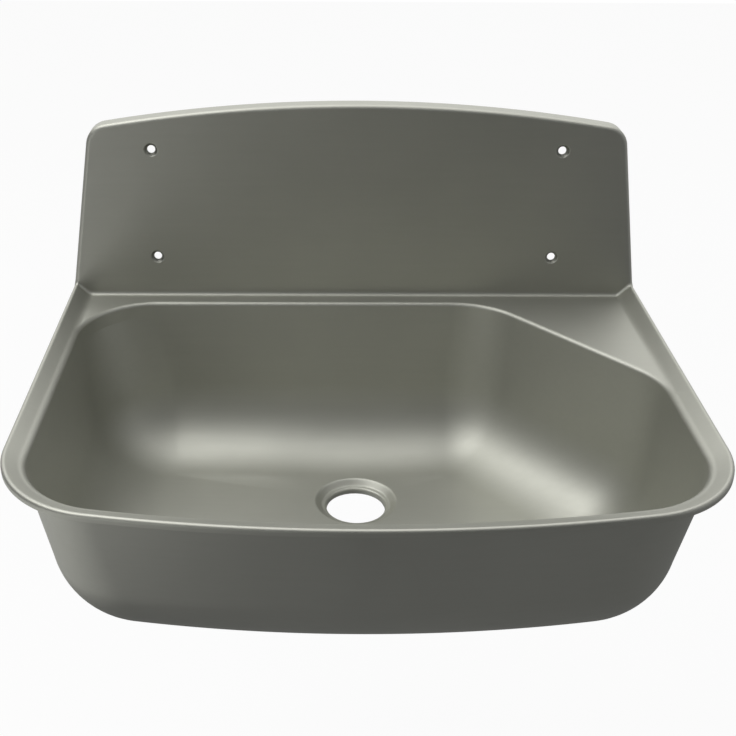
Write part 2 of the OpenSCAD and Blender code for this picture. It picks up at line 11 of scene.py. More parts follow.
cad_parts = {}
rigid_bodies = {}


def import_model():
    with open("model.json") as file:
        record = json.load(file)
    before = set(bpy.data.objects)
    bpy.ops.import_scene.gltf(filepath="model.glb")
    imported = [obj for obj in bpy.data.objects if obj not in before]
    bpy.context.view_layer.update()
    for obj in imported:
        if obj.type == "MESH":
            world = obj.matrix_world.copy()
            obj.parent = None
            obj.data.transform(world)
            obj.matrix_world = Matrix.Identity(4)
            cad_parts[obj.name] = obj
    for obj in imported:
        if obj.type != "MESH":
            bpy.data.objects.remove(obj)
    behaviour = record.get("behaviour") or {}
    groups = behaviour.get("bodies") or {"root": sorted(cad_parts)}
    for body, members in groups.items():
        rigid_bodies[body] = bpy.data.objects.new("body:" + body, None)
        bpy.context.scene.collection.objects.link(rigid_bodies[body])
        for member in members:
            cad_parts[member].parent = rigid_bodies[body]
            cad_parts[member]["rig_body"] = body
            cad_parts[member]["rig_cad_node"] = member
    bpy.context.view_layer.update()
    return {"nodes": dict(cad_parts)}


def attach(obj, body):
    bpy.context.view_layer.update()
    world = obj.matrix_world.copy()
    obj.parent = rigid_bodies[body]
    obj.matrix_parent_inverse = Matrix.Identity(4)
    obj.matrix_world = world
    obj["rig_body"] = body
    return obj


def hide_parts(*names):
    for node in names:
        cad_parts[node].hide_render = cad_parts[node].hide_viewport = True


bl_info = {
    "name": "Mop Service Sink",
    "version": (1, 0, 0),
    "blender": (4, 5, 0),
    "location": "View3D > Sidebar > Sink",
    "description": "Builds the skin, supports, finishes and studio of a wall-hung mop service sink",
    "category": "Add Mesh",
}

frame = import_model()


def length(name, metres, description):
    """A length that a user may change."""
    return FloatProperty(
        name=name, description=description, default=metres, min=0.0, unit="LENGTH", precision=4
    )


def angle(name, degrees, description):
    """An angle that a user may change."""
    radians = math.radians(degrees)
    return FloatProperty(name=name, description=description, default=radians, subtype="ANGLE")


def colour(name, value, description):
    """A colour that a user may change."""
    return FloatVectorProperty(
        name=name, description=description, default=value, size=3, min=0.0, max=1.0, subtype="COLOR"
    )


class SinkSizes(bpy.types.PropertyGroup):
    """Sizes of the sink's skin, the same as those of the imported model."""

    basin_width: length("Basin width", 0.520, "Width over the rim")
    basin_depth: length("Basin depth", 0.383, "From the splashback's face to the front of the rim")
    bowl_depth: length("Bowl depth", 0.1375, "Depth of the bowl at the edge of its floor")
    floor_fall: length("Floor fall", 0.002, "Fall of the floor towards the waste")
    sheet: length("Sheet", 0.0012, "Thickness of the sheet")
    wall_lean: angle("Wall lean", 7.5, "Lean of the bowl's walls from upright")
    floor_radius: length("Floor radius", 0.068, "Radius between the walls and the floor")
    front_bow: length("Front bow", 1.04, "Radius of the bow of the front")
    ledge: length("Ledge", 0.0185, "Ledge between the splashback and the bowl")
    back_corner: length("Back corner", 0.064, "Corner radius at the back left")
    front_corner: length("Front corner", 0.069, "Radius of the two front corners")
    cut_back: length("Cut along back", 0.122, "Length of the cut-off corner along the back")
    cut_side: length("Cut along side", 0.147, "Length of the cut-off corner along the side")
    cut_corner: length("Cut corner", 0.067, "Radius at both ends of the cut")
    edge_radius: length("Edge radius", 0.004, "Radius from the ledge into the bowl")
    seam: length("Seam", 0.014, "Depth of the flange that the bowl is welded to")
    rim_width: length("Rim width", 0.0165, "Width of the dished rim")
    rim_back: length("Rim at back", 0.0105, "Height of the rim's crest above the ledge, at the splashback")
    rim_front: length("Rim at front", 0.0045, "Height of the rim's crest above the ledge, at the front")
    crease: length("Crease", 0.0028, "Softness of the crease between the ledge and the rim")
    lip_radius: length("Lip radius", 0.0024, "Outer radius of the rolled lip")
    lip_drop: length("Lip drop", 0.0025, "Straight drop of the lip below its roll")
    head_rise: length("Head rise", 0.040, "Height of the arched head above the upper screws")
    side_lean: angle("Side lean", 9.5, "Lean of the splashback's sides")
    head_bow: length("Head bow", 1.36, "Radius of the arched head")
    head_corner: length("Head corner", 0.020, "Corner radius of the head")
    panel_depth: length("Panel depth", 0.016, "Depth of the splashback, from the wall to its face")
    fold_radius: length("Fold radius", 0.004, "Radius of the folded edges")
    foot_radius: length("Foot radius", 0.004, "Radius between the splashback and the ledge")
    screw_spacing: length("Screw spacing", 0.362, "Distance between the screws, side to side")
    screw_pitch: length("Screw pitch", 0.100, "Distance between the screws, up and down")
    screw_rise: length("Screw rise", 0.038, "Height of the lower screws above the ledge")
    screw_hole: length("Screw hole", 0.007, "Diameter of the screw holes")
    dimple: length("Dimple", 0.012, "Diameter of the dimple round a screw hole")
    dimple_depth: length("Dimple depth", 0.003, "Depth of the dimple")
    waste: length("Waste", 0.052, "Diameter of the waste hole")
    recess: length("Recess", 0.072, "Diameter of the recess round the waste hole")
    recess_depth: length("Recess depth", 0.005, "Depth of the recess")
    collar: length("Collar", 0.004, "Length of the collar round the waste hole")
    waste_gap: length("Waste gap", 0.0022, "Flat floor between the back radius and the recess")


class SinkColours(bpy.types.PropertyGroup):
    """Colours of the sink's finishes."""

    satin_steel: colour("Satin steel", (0.50, 0.503, 0.452), "Fine blasted stainless steel")
    mill_steel: colour("Mill steel", (0.46, 0.46, 0.44), "Rolled stainless steel with its mill finish")
    zinc: colour("Zinc", (0.62, 0.64, 0.66), "Zinc plating")
    nylon: colour("Nylon", (0.045, 0.045, 0.048), "Black nylon")
    damping: colour("Damping", (0.022, 0.022, 0.023), "Bitumen damping pad")
    floor: colour("Floor", (0.80, 0.80, 0.80), "Studio floor")


# --- Outlines and rings, in millimetres from the splashback's face and the ledge ---

# Small distances that belong to the skin alone
FOOT_FLAT = 1.0  # flat strip of the ledge in front of the foot's radius
FOLD_START = 4.0  # height above the foot's radius at which the folded sides start
LOW_CORNER_GAIN = 4.0  # how far the corners at the floor are larger than the floor's radius
DISH_GAIN = 1.0  # how far the recess's cone starts outside the recess
CONE_END = 3.0  # how far outside the waste hole the cone ends
COLLAR_BEND = 2.8  # radius from the recess into the collar
FALL_REACH = 60.0  # how far from the recess the floor's edge begins to fall
LEAN_REACH = 60.0  # how far in from the rim's side the foot begins to follow the leaning side
LEAN_RUN = 40.0  # over what distance it comes to follow it in full
LEDGE_INSETS = (7.5, 15.5, 25.5, 37.5, 51.5)  # places along the foot, in from the opening's side
LAST_CUT_SHARE = 0.97  # the fan's rays that cross the cut beyond this share of it are left out
NEAR = 0.001  # closer than this counts as the same place

# Steps in each stretch of the bowl's outline, in its order from the back left round to the back
LEFT_CORNER_STEPS = 18
LEFT_SIDE_STEPS = 16
FRONT_CORNER_STEPS = 26
BOW_STEPS = 48
RIGHT_SIDE_STEPS = 12
CUT_END_STEPS = 12
CUT_SIDE_STEPS = 12
BACK_STEPS = 30

# Steps in the sections of the ledge and rim, of the bowl and of the splashback
EDGE_STEPS = 10
DECK_STEPS = (7, 3, 4)  # across the ledge before, in and after its crease
ROLL_STEPS = 9
WALL_STEPS = 5
FLOOR_RADIUS_STEPS = 22
FLOOR_STEPS = 8
CONE_STEPS = 16
COLLAR_STEPS = 5
FOLD_STEPS = 6
SIDE_STEPS = 14
HEAD_CORNER_STEPS = 16
HEAD_STEPS = 40
FOOT_STEPS = 10
DIMPLE_STEPS = 48


def arc(centre, radius, angles):
    """Points on a circle at the given angles, in degrees."""
    return [
        (centre[0] + radius * math.cos(math.radians(a)), centre[1] + radius * math.sin(math.radians(a)))
        for a in angles
    ]


def spread(start, end, steps):
    """Numbers from start to end, with both ends."""
    return [start + (end - start) * i / steps for i in range(steps + 1)]


def mix(a, b, share):
    """A point on the line from a to b."""
    return tuple(p + (q - p) * share for p, q in zip(a, b))


def between(a, b, steps):
    """The points that divide the line from a to b into steps, without its ends."""
    return [mix(a, b, share) for share in spread(0.0, 1.0, steps)[1:-1]]


def ease(share):
    """A soft step from 0 to 1."""
    share = min(1.0, max(0.0, share))
    return share * share * (3.0 - 2.0 * share)


def dip(share):
    """The depth of the recess's cone, with a soft bend at its top and foot."""
    bend = 0.3
    if share < bend:
        return share**2 / (2.0 * bend * (1.0 - bend))
    if share <= 1.0 - bend:
        return (share - bend / 2.0) / (1.0 - bend)
    return 1.0 - (1.0 - share) ** 2 / (2.0 * bend * (1.0 - bend))


class SinkForm:
    """The sink's outlines and sections, worked out from its sizes."""

    def __init__(self, sizes):
        for name in SinkSizes.__annotations__:
            value = getattr(sizes, name)
            setattr(self, name, value if name in ("wall_lean", "side_lean") else value * 1000.0)
        self.rim_half = self.basin_width / 2.0
        self.open_half = self.rim_half - self.rim_width
        self.arc_y = -self.basin_depth + self.rim_width + self.front_bow
        self.foot_y = -self.foot_radius - FOOT_FLAT
        self.deck_z = -(self.screw_rise + self.screw_pitch / 2.0)
        self.lean = math.tan(self.wall_lean)
        self.lip_e = self.rim_width - self.lip_radius
        self.edge_c = self.edge_radius * math.cos(self.wall_lean)
        self.edge_c -= self.lean * self.edge_radius * (1.0 - math.sin(self.wall_lean))
        self.set_cut()
        self.set_fans()
        self.set_outlines()
        self.set_bowl()

    def set_cut(self):
        """The cut-off corner's direction, and how far its line is from the origin."""
        self.cut_angle = math.atan2(self.cut_back, self.cut_side)
        self.cut_reach = self.open_half * math.cos(self.cut_angle)
        self.cut_reach += (-self.ledge - self.cut_side) * math.sin(self.cut_angle)

    def set_fans(self):
        """The ledge's mesh fans out from two points to these stations along the foot of the splashback."""
        angles = [math.radians(a) for a in spread(90, 0, FOLD_STEPS)]
        fold = [self.rim_half - self.fold_radius * (1.0 - math.sin(a)) for a in angles]
        slope = spread(fold[-1], self.open_half + 2.0 * self.crease, 3)[1:]
        crease = spread(slope[-1], self.open_half, 3)[1:]
        self.stations = fold + slope + crease + [self.open_half - inset for inset in LEDGE_INSETS]
        self.fan_left = (-self.open_half + self.back_corner, -self.ledge - self.back_corner)
        self.fan_right = (self.cut_end_x(0.0, self.cut_corner), self.cut_end_y(0.0, self.cut_corner))
        up = self.foot_y - self.fan_left[1]
        fan = [math.degrees(math.atan2(up, -x - self.fan_left[0])) for x in self.stations]
        self.left_back = [90.0, (90.0 + fan[-1]) / 2.0] + fan[::-1]
        self.left_side = spread(fan[0], 180.0, LEFT_CORNER_STEPS)
        self.cut_shares()

    def set_outlines(self):
        """The opening, the lines outside it and the zone and crest of each of its points."""
        self.opening = self.outline(0.0, self.back_corner, self.front_corner, self.cut_corner)
        self.count = len(self.opening)
        self.zones = self.zone_list()
        self.edge_line = self.offset(self.edge_c)
        self.rim_line = self.offset(self.rim_width)
        self.outer_line = [self.outer_point(i) for i in range(self.count)]
        self.crests = [self.crest(q[1]) for q in self.outer_line]

    def set_bowl(self):
        """The section of the bowl: leaning wall, radius, falling floor and recess."""
        self.low_r = self.floor_radius + LOW_CORNER_GAIN
        self.tangent_z = -self.bowl_depth + self.floor_radius * (1.0 - math.sin(self.wall_lean))
        self.arc_d = -self.tangent_z * self.lean + self.floor_radius * math.cos(self.wall_lean)
        self.waste_r = self.waste / 2.0
        self.recess_r = self.recess / 2.0
        self.dish_r = self.recess_r + DISH_GAIN
        self.dish_z = -self.bowl_depth - self.floor_fall
        self.recess_z = self.dish_z - self.recess_depth
        self.waste_y = -(self.ledge + self.arc_d + self.waste_gap + self.recess_r)
        self.floor_edge = self.arc_line(math.radians(90.0))

    def cut_end_x(self, d, r):
        """Where the rounding between the cut and the back is centred."""
        a = self.cut_angle
        return (self.cut_reach - d - r - math.sin(a) * (-self.ledge - d - r)) / math.cos(a)

    def cut_end_y(self, d, r):
        """Where the rounding between the cut and the side is centred."""
        a = self.cut_angle
        return (self.cut_reach - d - r - math.cos(a) * (self.open_half - d - r)) / math.sin(a)

    def cut_shares(self):
        """Shares of the cut's length at which the fan's rays cross it."""
        r, a = self.cut_corner, self.cut_angle
        start = arc((self.open_half - r, self.fan_right[1]), r, [math.degrees(a)])[0]
        end = arc((self.fan_right[0], -self.ledge - r), r, [math.degrees(a)])[0]
        run = (end[0] - start[0], end[1] - start[1])
        shares = []
        for x in self.stations:
            ray = (x - self.fan_right[0], self.foot_y - self.fan_right[1])
            off = (start[0] - self.fan_right[0], start[1] - self.fan_right[1])
            shares.append(-(off[0] * ray[1] - off[1] * ray[0]) / (run[0] * ray[1] - run[1] * ray[0]))
        self.side_shares = spread(0.0, shares[0], CUT_SIDE_STEPS)
        self.back_shares = [f for f in shares if f < LAST_CUT_SHARE]

    def outline(self, d, rb, rf, rc):
        """The bowl's outline moved inwards by d, with its three corner radii."""
        hw, back, bow = self.open_half - d, -self.ledge - d, self.front_bow - d
        cut = math.degrees(self.cut_angle)
        fx = hw - rf
        fy = self.arc_y - math.sqrt((bow - rf) ** 2 - fx * fx)
        fa = math.degrees(math.atan2(fy - self.arc_y, fx))
        side_end = (hw - rc, self.cut_end_y(d, rc))
        back_end = (self.cut_end_x(d, rc), back - rc)
        points = arc((-hw + rb, back - rb), rb, self.left_back + self.left_side[1:])
        front = arc((-fx, fy), rf, spread(180.0, 180.0 - fa, FRONT_CORNER_STEPS))
        points += between(points[-1], front[0], LEFT_SIDE_STEPS) + front
        points += arc((0.0, self.arc_y), bow, spread(180.0 - fa, 360.0 + fa, BOW_STEPS))[1:-1]
        right = arc((fx, fy), rf, spread(360.0 + fa, 360.0, FRONT_CORNER_STEPS))
        cut_side = arc(side_end, rc, spread(0.0, cut, CUT_END_STEPS))
        cut_back = arc(back_end, rc, spread(cut, 90.0, CUT_END_STEPS))
        points += right + between(right[-1], cut_side[0], RIGHT_SIDE_STEPS) + cut_side
        shares = self.side_shares[1:] + self.back_shares[1:]
        points += [mix(cut_side[-1], cut_back[0], share) for share in shares] + cut_back
        return points + between(cut_back[-1], points[0], BACK_STEPS)

    def zone_list(self):
        """Whether the rim, the left corner, the back or the right corner lies outside each point."""
        left = len(self.left_back) + len(self.left_side) - 2
        rim = LEFT_SIDE_STEPS + 2 * FRONT_CORNER_STEPS + BOW_STEPS + RIGHT_SIDE_STEPS
        right = 2 * CUT_END_STEPS + len(self.side_shares) + len(self.back_shares) - 2
        zones = ["left"] * left + ["rim"] * rim + ["right"] * right
        return zones + ["back"] * (self.count - len(zones))

    def offset(self, e):
        """The opening's outline moved outwards by e."""
        return self.outline(-e, self.back_corner + e, self.front_corner + e, self.cut_corner + e)

    def outer_point(self, i):
        """Where the ledge or rim ends outside point i of the opening."""
        if self.zones[i] == "rim":
            return self.rim_line[i]
        if self.zones[i] == "back":
            return (self.opening[i][0], self.foot_y)
        fan = self.fan_left if self.zones[i] == "left" else self.fan_right
        u = (self.opening[i][0] - fan[0], self.opening[i][1] - fan[1])
        side = (math.copysign(self.rim_half, u[0]) - fan[0]) / u[0] if abs(u[0]) > 1e-9 else 1e9
        back = (self.foot_y - fan[1]) / u[1] if u[1] > 1e-9 else 1e9
        reach = min(side, back)
        return (fan[0] + u[0] * reach, fan[1] + u[1] * reach)

    # Section of the rim: a short soft crease, a slope, and a roll into the lip.
    # Its crest falls towards the front.

    def crest(self, y):
        """Height of the rim's crest above the ledge, at the depth y from the splashback."""
        share = min(1.0, max(0.0, (self.foot_y - y) / (self.foot_y + self.basin_depth)))
        return self.rim_back + (self.rim_front - self.rim_back) * share

    def slope_of(self, crest):
        """The rim's slope under a crest of this height, from level."""
        run, up = self.lip_e - self.crease, crest - self.lip_radius
        return math.atan2(up, run) + math.asin(self.lip_radius / math.hypot(run, up))

    def slope_end(self, crest):
        """Where the slope meets the roll."""
        return self.lip_e - self.lip_radius * math.sin(self.slope_of(crest))

    def rise(self, e, crest):
        """Height of the ledge or rim, e outside the line of the opening's sides."""
        if e <= 0.0:
            return 0.0
        if e < 2.0 * self.crease:
            return math.tan(self.slope_of(crest)) * e * e / (4.0 * self.crease)
        if e < self.slope_end(crest):
            return math.tan(self.slope_of(crest)) * (e - self.crease)
        return crest - self.lip_radius + math.sqrt(max(0.0, self.lip_radius**2 - (e - self.lip_e) ** 2))

    def edge_ring(self, e, drop):
        """A ring round the edge of the bowl, drop below the ledge or rim."""
        return [
            (p[0], p[1], self.rise(e if zone == "rim" else abs(p[0]) - self.open_half, crest) - drop)
            for p, zone, crest in zip(self.offset(e), self.zones, self.crests)
        ]

    def rim_at(self, i, e):
        """The point of the rim's outline e outside point i of the opening."""
        return mix(self.opening[i], self.rim_line[i], e / self.rim_width)

    def deck_ring(self, k):
        """Ring k across the ledge or slope."""
        before, inside, after = DECK_STEPS
        ring = []
        for i, (zone, crest) in enumerate(zip(self.zones, self.crests)):
            p, q = self.edge_line[i], self.outer_line[i]
            end = self.slope_end(crest)
            if zone == "rim":
                e = self.edge_c + (end - self.edge_c) * k / (before + inside + after)
                ring.append(self.rim_at(i, e) + (self.rise(e, crest),))
                continue
            span = abs(q[0]) - abs(p[0])
            if span < 1e-6:
                marks = (0.0, 1.0, 1.0, 1.0)
            else:
                crease_end = self.open_half + 2.0 * self.crease
                slope_end = min(abs(q[0]), self.open_half + end)
                stops = (abs(p[0]), self.open_half, crease_end, slope_end)
                marks = [min(1.0, max(0.0, (x - abs(p[0])) / span)) for x in stops]
            if k <= before:
                share = marks[0] + (marks[1] - marks[0]) * k / before
            elif k <= before + inside:
                share = marks[1] + (marks[2] - marks[1]) * (k - before) / inside
            else:
                share = marks[2] + (marks[3] - marks[2]) * (k - before - inside) / after
            x, y = mix(p, q, share)
            ring.append((x, y, self.rise(abs(x) - self.open_half, crest)))
        return ring

    def lip_ring(self, share, drop=0.0):
        """A ring at a share of the roll, or drop below its end; the ledge's end stays at the splashback."""
        ring = []
        for i, (zone, crest) in enumerate(zip(self.zones, self.crests)):
            p, q = self.edge_line[i], self.outer_line[i]
            a = (math.pi / 2.0 + self.slope_of(crest)) * (1.0 - share)
            e = self.lip_e + self.lip_radius * math.cos(a)
            z = crest - self.lip_radius + self.lip_radius * math.sin(a) - drop
            if zone == "rim":
                x, y = self.rim_at(i, e)
            elif abs(abs(q[0]) - self.rim_half) < NEAR:
                x, y = mix(p, q, (self.open_half + e - abs(p[0])) / (abs(q[0]) - abs(p[0])))
            else:
                end = self.slope_end(crest)
                reach = (self.open_half + end - abs(p[0])) / max(1e-6, abs(q[0]) - abs(p[0]))
                start = mix(p, q, min(1.0, max(0.0, reach))) if abs(q[0]) > self.open_half + end else q
                x, y = mix(start, q, (e - end) / (self.rim_width - end))
                z = self.rise(abs(x) - self.open_half, crest)
            ring.append((x, y, z))
        return ring

    def deck_rings(self):
        """The ledge and rim, from the seam in the bowl's wall up, over and down the lip."""
        rings = [self.edge_ring(-self.seam * self.lean, self.seam)]
        r = self.edge_radius
        for a in spread(self.wall_lean, math.pi / 2.0, EDGE_STEPS):
            rings.append(self.edge_ring(self.edge_c - r * math.cos(a), r * (1.0 - math.sin(a))))
        rings += [self.deck_ring(k) for k in range(1, sum(DECK_STEPS) + 1)]
        rings += [self.lip_ring(share) for share in spread(0.0, 1.0, ROLL_STEPS)[1:]]
        rings += [self.lip_ring(1.0, self.lip_drop * share) for share in (0.5, 1.0)]
        return rings

    # Rings of the bowl

    def wall_ring(self, z):
        """A ring on the bowl's wall at height z."""
        share = (-z - self.seam) / (-self.tangent_z - self.seam)
        top = self.seam * self.lean
        corners = (self.back_corner, self.front_corner, self.cut_corner)
        radii = [(r - top) + (self.low_r - r + top) * share for r in corners]
        return [(x, y, z) for x, y in self.outline(-z * self.lean, *radii)]

    def arc_line(self, a):
        """The outline of the radius at the foot of the wall, at angle a of its section."""
        r = self.low_r - self.floor_radius * math.cos(self.wall_lean) + self.floor_radius * math.cos(a)
        return self.outline(self.arc_d - self.floor_radius * math.cos(a), r, r, r)

    def edge_fall(self, p):
        """How far the floor's edge is down near the waste."""
        away = math.hypot(p[0], p[1] - self.waste_y) - self.dish_r
        return self.floor_fall * ease(1.0 - away / FALL_REACH)

    def floor_height(self, p, share):
        """Height of the floor at a share of the way from its edge at p to the dish."""
        fall = self.edge_fall(p)
        return -self.bowl_depth - fall - (self.floor_fall - fall) * share * (2.0 - share)

    def towards_waste(self, p, r):
        """The point r from the waste's middle, in the direction of p."""
        d = math.hypot(p[0], p[1] - self.waste_y)
        return (p[0] * r / d, self.waste_y + (p[1] - self.waste_y) * r / d)

    def floor_ring(self, share):
        """A ring on the floor at a share of the way from its edge to the dish."""
        return [
            mix(p, self.towards_waste(p, self.dish_r), share) + (self.floor_height(p, share),)
            for p in self.floor_edge
        ]

    def round_ring(self, r, z):
        """A round ring about the waste."""
        return [self.towards_waste(p, r) + (z,) for p in self.floor_edge]

    def bowl_rings(self):
        """The inside of the bowl, from the seam down to the collar of the waste hole."""
        wall = self.tangent_z + self.seam
        rings = [self.wall_ring(-self.seam + wall * f) for f in spread(0.0, 1.0, WALL_STEPS)[:-1]]
        for a in spread(self.wall_lean, math.pi / 2.0, FLOOR_RADIUS_STEPS):
            drop = ease((a - self.wall_lean) / (math.pi / 2.0 - self.wall_lean))
            z = -self.bowl_depth + self.floor_radius * (1.0 - math.sin(a))
            line = self.arc_line(a)
            rings.append([(p[0], p[1], z - drop * self.edge_fall(e)) for p, e in zip(line, self.floor_edge)])
        rings += [self.floor_ring(share) for share in spread(0.0, 1.0, FLOOR_STEPS)[1:]]
        for f in spread(0.0, 1.0, CONE_STEPS)[1:]:
            r = self.dish_r + (self.waste_r + CONE_END - self.dish_r) * f
            rings.append(self.round_ring(r, self.dish_z - self.recess_depth * dip(f)))
        for a in [math.radians(a) for a in spread(0.0, 90.0, COLLAR_STEPS)]:
            r = self.waste_r + COLLAR_BEND * (1.0 - math.sin(a))
            rings.append(self.round_ring(r, self.recess_z - COLLAR_BEND * (1.0 - math.cos(a))))
        rings.append(self.round_ring(self.waste_r, self.recess_z - self.sheet - self.collar))
        return rings

    # Splashback

    def head_line(self, d, low):
        """The splashback's outline moved in by d, from height low on the right over the head to the left."""
        n = (math.cos(self.side_lean), math.sin(self.side_lean))
        up = (-n[1], n[0])
        reach = n[0] * self.rim_half + n[1] * self.rim_back - d
        r = self.head_corner - d
        bow = self.head_bow - d
        cy = self.screw_rise + self.screw_pitch + self.head_rise - self.head_bow
        q = (n[0] * (reach - r), n[1] * (reach - r) - cy)
        dot = q[0] * up[0] + q[1] * up[1]
        t = -dot + math.sqrt(dot * dot - q[0] ** 2 - q[1] ** 2 + (bow - r) ** 2)
        c = (q[0] + up[0] * t, q[1] + cy + up[1] * t)
        top = math.degrees(math.atan2(c[1] - cy, c[0]))
        right = arc(c, r, spread(math.degrees(self.side_lean), top, HEAD_CORNER_STEPS))
        foot = ((reach - n[1] * low) / n[0], low)
        right = [mix(foot, right[0], f) for f in spread(0.0, 1.0, SIDE_STEPS)[:-1]] + right
        head = arc((0.0, cy), bow, spread(top, 180.0 - top, HEAD_STEPS))[1:-1]
        return right + head + [(-x, z) for x, z in reversed(right)]

    def foot_point(self, x, share, depth):
        """A point of the foot's section at x: share runs from the face to the ledge, depth goes in."""
        e = abs(x) - self.open_half
        crest = self.rim_back if e > self.lip_e else self.rise(e, self.rim_back)
        a = math.radians(90.0 * share)
        r = self.foot_radius + depth
        y = -self.foot_radius + r * math.cos(a)
        z = crest + self.foot_radius - r * math.sin(a)
        return (x - math.copysign(self.lean_in(x, z), x), y, z)

    def lean_in(self, x, z):
        """How far the station x of the foot moves in at height z, to follow the leaning side."""
        share = ease((abs(x) - self.rim_half + LEAN_REACH) / LEAN_RUN)
        return share * max(0.0, z - self.rim_back) * math.tan(self.side_lean)

    def foot_columns(self):
        """The places along the foot of the splashback at which the ledge's rings end, right to left."""
        ends = [q for q, zone in zip(self.outer_line, self.zones) if zone != "rim"]
        return sorted({round(q[0], 5) for q in ends if abs(q[1] - self.foot_y) < NEAR}, reverse=True)


# --- Modelling helpers ---

# Points closer than this merge, in metres: in a skin, between the panel's parts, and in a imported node
SKIN_MERGE, PART_MERGE, NODE_MERGE = 0.000002, 0.00002, 0.000005
ON_FACE = 0.000005  # points nearer than this to the splashback's plane lie on its face

# In degrees: shading stays sharp above these, edges are rounded above this, faces join up to this
SKIN_SHARP, NODE_SHARP = 35.0, 40.0
ROUNDED_FROM = 35.0
FLAT_UP_TO = 1.0


def deselect_all():
    """Leaves nothing selected, in object mode."""
    if bpy.context.object and bpy.context.object.mode != "OBJECT":
        bpy.ops.object.mode_set(mode="OBJECT")
    bpy.ops.object.select_all(action="DESELECT")


def choose(piece):
    """Makes piece the only selected and active object."""
    deselect_all()
    piece.select_set(True)
    bpy.context.view_layer.objects.active = piece


def place(form, point):
    """A point measured from the splashback's face and the ledge, in the model's own frame and in metres."""
    return Vector((point[0], point[1] - form.dimple_depth, point[2] + form.deck_z)) / 1000.0


def placed(form, rings):
    """Rings of such points in the model's own frame."""
    return [[place(form, point) for point in ring] for ring in rings]


def start_loop(name, points, closed):
    """Adds a circle and moves its vertices onto the points; an open line loses its last edge."""
    deselect_all()
    bpy.ops.mesh.primitive_circle_add(vertices=len(points), radius=0.1, location=(0.0, 0.0, 0.0))
    piece = bpy.context.object
    piece.name = name
    piece.data.name = name
    bpy.ops.object.mode_set(mode="EDIT")
    mesh = bmesh.from_edit_mesh(piece.data)
    order = mesh.verts.layers.int.new("order")
    mesh.verts.ensure_lookup_table()
    for i, (vertex, point) in enumerate(zip(mesh.verts, points)):
        vertex.co = point
        vertex[order] = i
    if not closed:
        ends = {0, len(points) - 1}
        for edge in mesh.edges:
            edge.select = {v[order] for v in edge.verts} == ends
        bmesh.update_edit_mesh(piece.data)
        bpy.ops.mesh.select_mode(type="EDGE")
        bpy.ops.mesh.delete(type="EDGE")
        bpy.ops.mesh.select_all(action="SELECT")
    bmesh.update_edit_mesh(piece.data)
    return piece


def extrude_loop(piece, points):
    """Extrudes the selected loop or line and moves each new vertex onto its own point."""
    bpy.ops.mesh.extrude_edges_indiv()
    mesh = bmesh.from_edit_mesh(piece.data)
    order = mesh.verts.layers.int["order"]
    for vertex in mesh.verts:
        if vertex.select:
            vertex.co = points[vertex[order]]
    bmesh.update_edit_mesh(piece.data)


def loft(name, rings, closed=True):
    """A skin through rings of points, extruded from one to the next."""
    piece = start_loop(name, rings[0], closed)
    for ring in rings[1:]:
        extrude_loop(piece, ring)
    bpy.ops.mesh.select_all(action="SELECT")
    bpy.ops.mesh.remove_doubles(threshold=SKIN_MERGE)
    bpy.ops.object.mode_set(mode="OBJECT")
    piece.data.attributes.remove(piece.data.attributes["order"])
    return piece


def face_towards(piece, target):
    """Turns the skin's faces so that the one nearest to target faces it."""
    choose(piece)
    bpy.ops.object.mode_set(mode="EDIT")
    bpy.ops.mesh.select_all(action="SELECT")
    bpy.ops.mesh.normals_make_consistent(inside=False)
    mesh = bmesh.from_edit_mesh(piece.data)
    nearest = min(mesh.faces, key=lambda f: (f.calc_center_median() - target).length)
    if nearest.normal.dot(target - nearest.calc_center_median()) <= 0.0:
        bpy.ops.mesh.flip_normals()
    bpy.ops.object.mode_set(mode="OBJECT")


def modify(piece, kind, **settings):
    """Gives a piece a modifier with these settings and applies it."""
    choose(piece)
    modifier = piece.modifiers.new(kind, kind)
    for key, value in settings.items():
        setattr(modifier, key, value)
    bpy.ops.object.modifier_apply(modifier=modifier.name)


def finish_skin(piece, sheet):
    """Gives a skin the thickness of its sheet behind its faces, and smooth shading."""
    thickness = sheet / 1000.0
    modify(
        piece, "SOLIDIFY", thickness=thickness, offset=-1.0, use_even_offset=True, use_quality_normals=True
    )
    smooth(piece, SKIN_SHARP)


def smooth(piece, sharp):
    """Smooth shading up to an angle in degrees, with normals that follow the larger faces."""
    choose(piece)
    bpy.ops.object.shade_smooth_by_angle(angle=math.radians(sharp))
    modify(piece, "WEIGHTED_NORMAL", keep_sharp=True, weight=50)


def soften_node(node, name, width, segments, finish_name):
    """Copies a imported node, merges its loose triangles, joins its flat faces and rounds its edges."""
    choose(frame["nodes"][node])
    bpy.ops.object.duplicate()
    piece = bpy.context.object
    piece.name = piece.data.name = name
    piece.parent = None
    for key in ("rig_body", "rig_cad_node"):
        if key in piece:
            del piece[key]
    bpy.ops.object.mode_set(mode="EDIT")
    bpy.ops.mesh.select_all(action="SELECT")
    bpy.ops.mesh.remove_doubles(threshold=NODE_MERGE)
    bpy.ops.mesh.dissolve_limited(angle_limit=math.radians(FLAT_UP_TO))
    bpy.ops.object.mode_set(mode="OBJECT")
    if piece.data.has_custom_normals:
        bpy.ops.mesh.customdata_custom_splitnormals_clear()
    limit = math.radians(ROUNDED_FROM)
    rounding = {"width": width, "segments": segments, "limit_method": "ANGLE", "angle_limit": limit}
    modify(piece, "BEVEL", **rounding, use_clamp_overlap=True)
    smooth(piece, NODE_SHARP)
    hand_over(piece, finish(finish_name), node)


def hand_over(piece, material, node):
    """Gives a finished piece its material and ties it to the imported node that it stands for."""
    piece.data.materials.clear()
    piece.data.materials.append(material)
    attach(piece, "root")
    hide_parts(node)


# --- Finishes ---

NOISE_LOW, NOISE_HIGH = 0.3, 0.7  # most of a noise pattern's values lie between these


